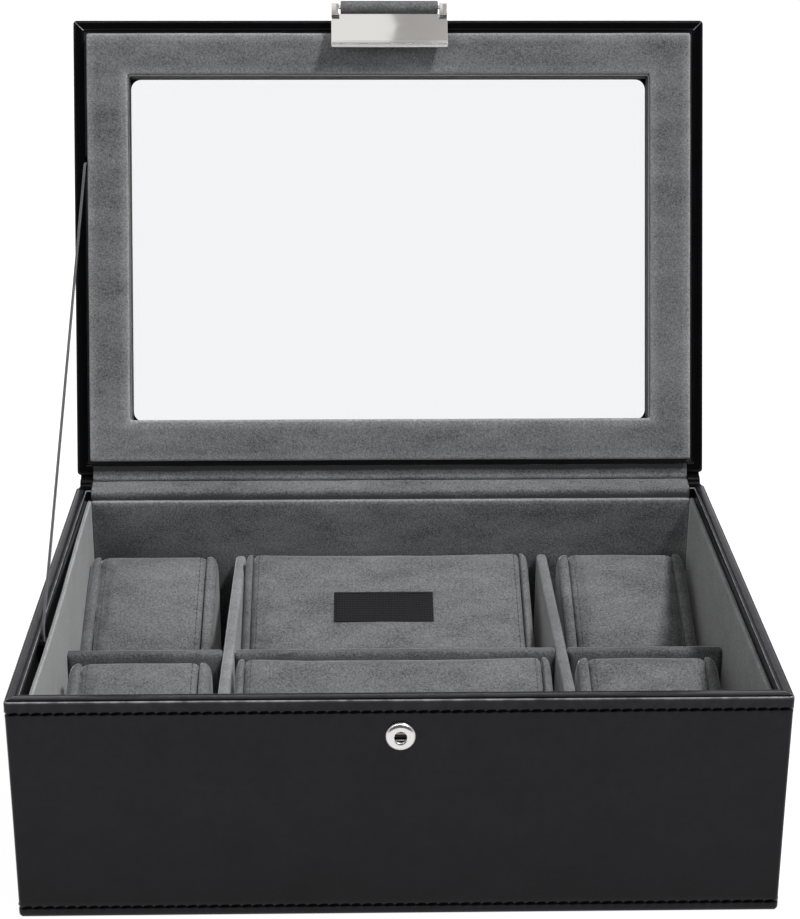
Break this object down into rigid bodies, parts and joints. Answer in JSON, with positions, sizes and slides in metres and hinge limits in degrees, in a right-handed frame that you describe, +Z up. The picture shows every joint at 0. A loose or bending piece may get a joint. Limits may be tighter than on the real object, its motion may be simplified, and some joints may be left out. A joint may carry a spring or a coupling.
{
  "type": "watch box",
  "caption": "Leather-covered box with a hinged glazed lid, velvet-lined tray in cells, loose sloping cushions and a snap clasp on a strap.",
  "frame": {"origin": "middle of the underside of the base, where it rests", "axes": "+X to the right seen from the clasp, +Y to the hinge at the back, +Z up"},
  "size_m": [0.25, 0.2621, 0.2606],
  "materials": {
    "black_leather": "semi-gloss smooth leather",
    "rail_board": "board faced in black paper",
    "wall_board": "bare fibreboard",
    "grey_velvet": "short-pile velvet",
    "underside_felt": "thin felt",
    "glass": "clear polished",
    "polished_metal": "polished plate",
    "spring_steel": "drawn wire",
    "stay_cord": "twisted metallic cord",
    "woven_label": "woven ribbon, blank"
  },
  "bodies": {
    "base": {"base_underlay": "underside_felt", "base_floor": "wall_board", "base_front_wall": "wall_board", "base_back_wall": "wall_board", "base_left_wall": "wall_board", "base_right_wall": "wall_board", "base_wrap": "black_leather", "lining_floor": "grey_velvet", "lining_front": "grey_velvet", "lining_back": "grey_velvet", "lining_left": "grey_velvet", "lining_right": "grey_velvet", "divider_left": "grey_velvet", "divider_right": "grey_velvet", "divider_cross": "grey_velvet", "snap_socket": "polished_metal", "snap_rivet": "polished_metal", "snap_spring": "spring_steel", "hinge_lining_base": "grey_velvet", "hinge_spine": "black_leather", "stay_base_tab": "black_leather", "stay_cord": "stay_cord"},
    "lid": {"lid_front_rail": "rail_board", "lid_right_rail": "rail_board", "lid_back_rail": "rail_board", "lid_left_rail": "rail_board", "lid_wrap": "black_leather", "lid_lining": "grey_velvet", "hinge_lining_lid": "grey_velvet", "hinge_leaf": "black_leather", "window_pane": "glass", "clasp_strap": "grey_velvet", "stay_lid_tab": "black_leather"},
    "clasp": {"clasp_plate": "polished_metal", "clasp_bar": "polished_metal", "clasp_stud": "polished_metal"},
    "cushion_rear_left": {"cushion_rear_left": "grey_velvet", "cushion_rear_left_cheeks": "grey_velvet"},
    "cushion_rear_centre": {"cushion_rear_centre": "grey_velvet", "cushion_rear_centre_cheeks": "grey_velvet", "cushion_label": "woven_label"},
    "cushion_rear_right": {"cushion_rear_right": "grey_velvet", "cushion_rear_right_cheeks": "grey_velvet"},
    "cushion_front_left": {"cushion_front_left": "grey_velvet", "cushion_front_left_cheeks": "grey_velvet"},
    "cushion_front_centre": {"cushion_front_centre": "grey_velvet", "cushion_front_centre_cheeks": "grey_velvet"},
    "cushion_front_right": {"cushion_front_right": "grey_velvet", "cushion_front_right_cheeks": "grey_velvet"}
  },
  "joints": [
    {"name": "lid_hinge", "type": "hinge", "parent": "base", "child": "lid", "pos_m": [0, 0.093, 0.0803], "axis": [-1, 0, 0], "range_deg": [-109.25, 0], "deforming": ["stay_cord"]},
    {"name": "clasp_swing", "type": "hinge", "parent": "lid", "child": "clasp", "pos_m": [0, 0.15148, 0.25838], "axis": [-1, 0, 0], "range_deg": [0, 64.25]},
    {"name": "rear_left_lift", "type": "slide", "parent": "base", "child": "cushion_rear_left", "axis": [0, 0, 1], "range_m": [0, 0.09]},
    {"name": "rear_centre_lift", "type": "slide", "parent": "base", "child": "cushion_rear_centre", "axis": [0, 0, 1], "range_m": [0, 0.09]},
    {"name": "rear_right_lift", "type": "slide", "parent": "base", "child": "cushion_rear_right", "axis": [0, 0, 1], "range_m": [0, 0.09]},
    {"name": "front_left_lift", "type": "slide", "parent": "base", "child": "cushion_front_left", "axis": [0, 0, 1], "range_m": [0, 0.09]},
    {"name": "front_centre_lift", "type": "slide", "parent": "base", "child": "cushion_front_centre", "axis": [0, 0, 1], "range_m": [0, 0.09]},
    {"name": "front_right_lift", "type": "slide", "parent": "base", "child": "cushion_front_right", "axis": [0, 0, 1], "range_m": [0, 0.09]}
  ],
  "couplings": [
    {"joint": "clasp_swing", "follows": "lid_hinge", "ratio": -0.588}
  ]
}
